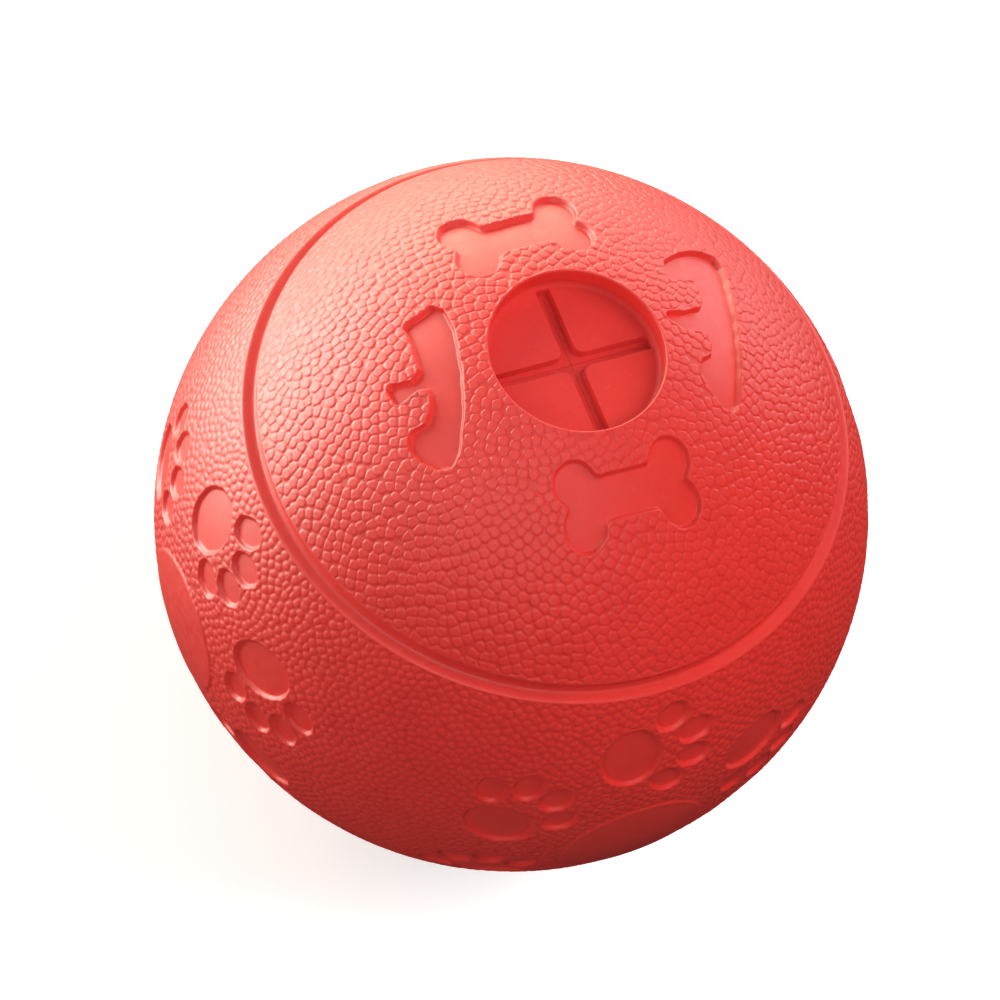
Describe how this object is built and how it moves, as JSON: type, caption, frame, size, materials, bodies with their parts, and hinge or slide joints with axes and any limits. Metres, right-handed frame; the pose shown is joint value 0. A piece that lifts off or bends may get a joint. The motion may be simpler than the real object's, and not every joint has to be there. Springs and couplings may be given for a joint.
{
  "type": "treat dispensing ball",
  "caption": "Hollow rubber ball with a pebbled skin, sunk bones and paw prints, and a slit mouth whose flaps bend to let treats in and out.",
  "frame": {"origin": "centre of the ball's sphere, which lies within a millimetre of the box's centre because the mouth takes the top off the sphere", "axes": "+Z along the mouth axis, out of the mouth; +X and +Y along the middle of two flaps, with the slit's arms between them"},
  "size_m": [0.09, 0.09, 0.0885],
  "materials": {
    "shell_rubber": "matt moulded rubber with a pebbled grain",
    "valve_rubber": "smooth matt moulded rubber",
    "maze_rubber": "smooth matt moulded rubber"
  },
  "bodies": {
    "ball": {"mouth_cap": "shell_rubber", "belt_shell": "shell_rubber", "base_cap": "shell_rubber", "valve_ring": "valve_rubber", "upper_baffle": "maze_rubber", "lower_baffle": "maze_rubber", "treat_chute": "maze_rubber"},
    "east_flap": {"valve_flap_east": "valve_rubber"},
    "north_flap": {"valve_flap_north": "valve_rubber"},
    "west_flap": {"valve_flap_west": "valve_rubber"},
    "south_flap": {"valve_flap_south": "valve_rubber"}
  },
  "joints": [
    {"name": "east_flap_bend", "type": "hinge", "parent": "ball", "child": "east_flap", "pos_m": [0.00721, 0, 0.03891], "axis": [0, 1, 0], "range_deg": [-80, 45], "stiffness_Nm_per_rad": 0.0013},
    {"name": "north_flap_bend", "type": "hinge", "parent": "ball", "child": "north_flap", "pos_m": [0, 0.00721, 0.03891], "axis": [-1, 0, 0], "range_deg": [-80, 45], "stiffness_Nm_per_rad": 0.0013},
    {"name": "west_flap_bend", "type": "hinge", "parent": "ball", "child": "west_flap", "pos_m": [-0.00721, 0, 0.03891], "axis": [0, -1, 0], "range_deg": [-80, 45], "stiffness_Nm_per_rad": 0.0013},
    {"name": "south_flap_bend", "type": "hinge", "parent": "ball", "child": "south_flap", "pos_m": [0, -0.00721, 0.03891], "axis": [1, 0, 0], "range_deg": [-80, 45], "stiffness_Nm_per_rad": 0.0013}
  ]
}
